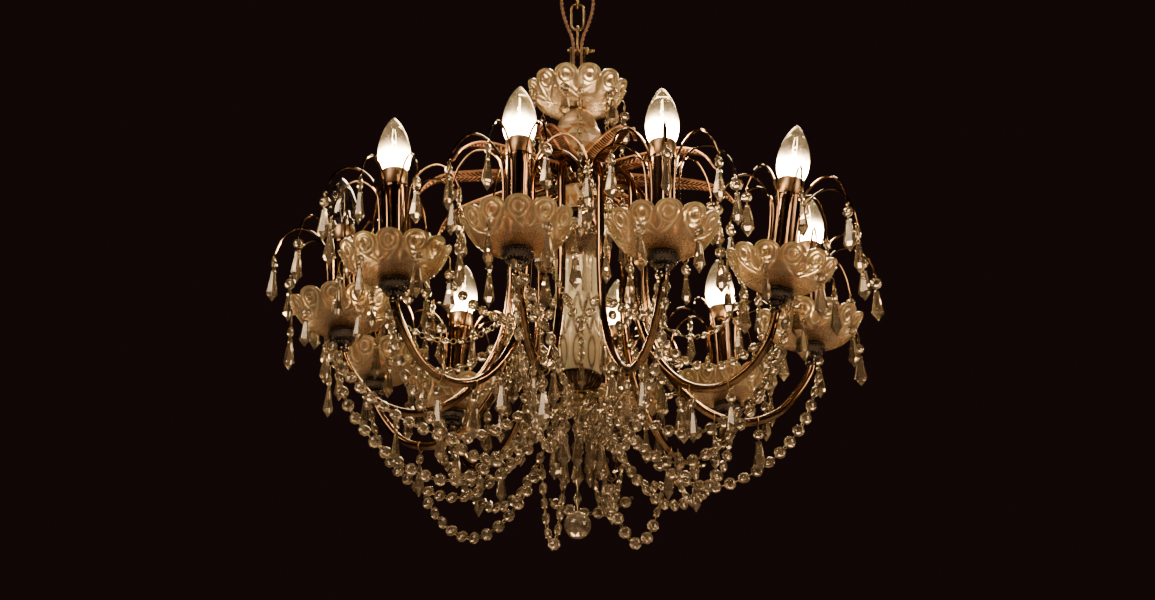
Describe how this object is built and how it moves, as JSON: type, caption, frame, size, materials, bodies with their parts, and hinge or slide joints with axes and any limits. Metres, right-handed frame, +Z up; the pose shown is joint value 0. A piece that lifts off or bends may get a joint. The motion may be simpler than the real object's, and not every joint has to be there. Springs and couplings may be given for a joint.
{
  "type": "crystal chandelier",
  "caption": "Crystal chandelier: candle lamps on curved copper arms round a cut-glass column, with pressed-glass dishes, wire sprays and bead strings, hung by a chain from a ceiling hook.",
  "frame": {"origin": "centre of the ceiling plate's top face, where the fitting meets the ceiling", "axes": "+Z up out of the ceiling plate; -Y towards the front of the chandelier; +X to its right"},
  "size_m": [0.6839, 0.6581, 0.739],
  "materials": {
    "copper": "polished copper-bronze plate, darkened",
    "dark_bronze": "dark patinated bronze, glossy",
    "brass": "dull aged brass",
    "satin_brass": "satin",
    "crystal": "clear cut glass",
    "crystal_sprays": "clear cut drops on bronzed wire",
    "pressed_glass": "pressed glass, lightly frosted",
    "lamp_lit": "clear candle lamp, lit",
    "lamp_unlit": "clear candle lamp, unlit",
    "flex": "twisted brown textile flex"
  },
  "bodies": {
    "ceiling": {"ceiling_rose": "brass", "ceiling_hook": "brass"},
    "link_upper": {"chain_link_upper": "brass"},
    "link_lower": {"chain_link_lower": "brass"},
    "chandelier": {"hanger_yoke": "brass", "yoke_bolt": "brass", "supply_flex": "flex", "stem": "brass", "top_bowl": "pressed_glass", "ball_cap": "satin_brass", "glass_ball": "crystal", "glass_canopy": "crystal", "leaf_crown": "copper", "arm_hub": "dark_bronze", "column_bell": "crystal", "vase_collar": "dark_bronze", "centre_vase": "crystal", "base_dish": "dark_bronze", "bead_garland": "crystal", "arm_1": "copper", "bobeche_1": "pressed_glass", "spray_1": "crystal_sprays", "arm_2": "copper", "bobeche_2": "pressed_glass", "spray_2": "crystal_sprays", "arm_3": "copper", "bobeche_3": "pressed_glass", "spray_3": "crystal_sprays", "arm_4": "copper", "bobeche_4": "pressed_glass", "spray_4": "crystal_sprays", "arm_5": "copper", "bobeche_5": "pressed_glass", "spray_5": "crystal_sprays", "arm_6": "copper", "bobeche_6": "pressed_glass", "spray_6": "crystal_sprays", "arm_7": "copper", "bobeche_7": "pressed_glass", "spray_7": "crystal_sprays", "arm_8": "copper", "bobeche_8": "pressed_glass", "spray_8": "crystal_sprays", "arm_9": "copper", "bobeche_9": "pressed_glass", "spray_9": "crystal_sprays", "arm_10": "copper", "bobeche_10": "pressed_glass", "spray_10": "crystal_sprays"},
    "crystal_ball": {"crystal_ball": "crystal"},
    "lamp_1": {"lamp_1": "lamp_lit"},
    "lamp_2": {"lamp_2": "lamp_lit"},
    "lamp_3": {"lamp_3": "lamp_lit"},
    "lamp_4": {"lamp_4": "lamp_lit"},
    "lamp_5": {"lamp_5": "lamp_lit"},
    "lamp_6": {"lamp_6": "lamp_lit"},
    "lamp_7": {"lamp_7": "lamp_lit"},
    "lamp_8": {"lamp_8": "lamp_lit"},
    "lamp_9": {"lamp_9": "lamp_unlit"},
    "lamp_10": {"lamp_10": "lamp_lit"}
  },
  "joints": [
    {"name": "chain_swing", "type": "hinge", "parent": "ceiling", "child": "link_upper", "pos_m": [0, 0, -0.0632], "axis": [0, 1, 0], "range_deg": [-12, 12], "deforming": ["supply_flex"]},
    {"name": "link_swing", "type": "hinge", "parent": "link_upper", "child": "link_lower", "pos_m": [0, 0, -0.0954], "axis": [1, 0, 0], "range_deg": [-12, 12]},
    {"name": "yoke_swing", "type": "hinge", "parent": "link_lower", "child": "chandelier", "pos_m": [0, 0, -0.124], "axis": [1, 0, 0], "range_deg": [-10, 10]},
    {"name": "ball_swing", "type": "hinge", "parent": "chandelier", "child": "crystal_ball", "pos_m": [0, 0, -0.581], "axis": [1, 0, 0], "range_deg": [-8, 8]},
    {"name": "lamp_1_out", "type": "slide", "parent": "chandelier", "child": "lamp_1", "axis": [0, 0, 1], "range_m": [0, 0.03]},
    {"name": "lamp_2_out", "type": "slide", "parent": "chandelier", "child": "lamp_2", "axis": [0.0085, -0.0248, 0.9997], "range_m": [0, 0.03]},
    {"name": "lamp_3_out", "type": "slide", "parent": "chandelier", "child": "lamp_3", "axis": [0.1394, -0.1035, 0.9848], "range_m": [0, 0.03]},
    {"name": "lamp_4_out", "type": "slide", "parent": "chandelier", "child": "lamp_4", "axis": [0.0262, 0, 0.9997], "range_m": [0, 0.03]},
    {"name": "lamp_5_out", "type": "slide", "parent": "chandelier", "child": "lamp_5", "axis": [-0.0364, -0.0376, 0.9986], "range_m": [0, 0.03]},
    {"name": "lamp_6_out", "type": "slide", "parent": "chandelier", "child": "lamp_6", "axis": [-0.0145, -0.0682, 0.9976], "range_m": [0, 0.03]},
    {"name": "lamp_7_out", "type": "slide", "parent": "chandelier", "child": "lamp_7", "axis": [0.06, -0.0856, 0.9945], "range_m": [0, 0.03]},
    {"name": "lamp_8_out", "type": "slide", "parent": "chandelier", "child": "lamp_8", "axis": [0, 0, 1], "range_m": [0, 0.03]},
    {"name": "lamp_9_out", "type": "slide", "parent": "chandelier", "child": "lamp_9", "axis": [-0.0517, -0.0082, 0.9986], "range_m": [0, 0.03]},
    {"name": "lamp_10_out", "type": "slide", "parent": "chandelier", "child": "lamp_10", "axis": [-0.0381, -0.0359, 0.9986], "range_m": [0, 0.03]}
  ]
}
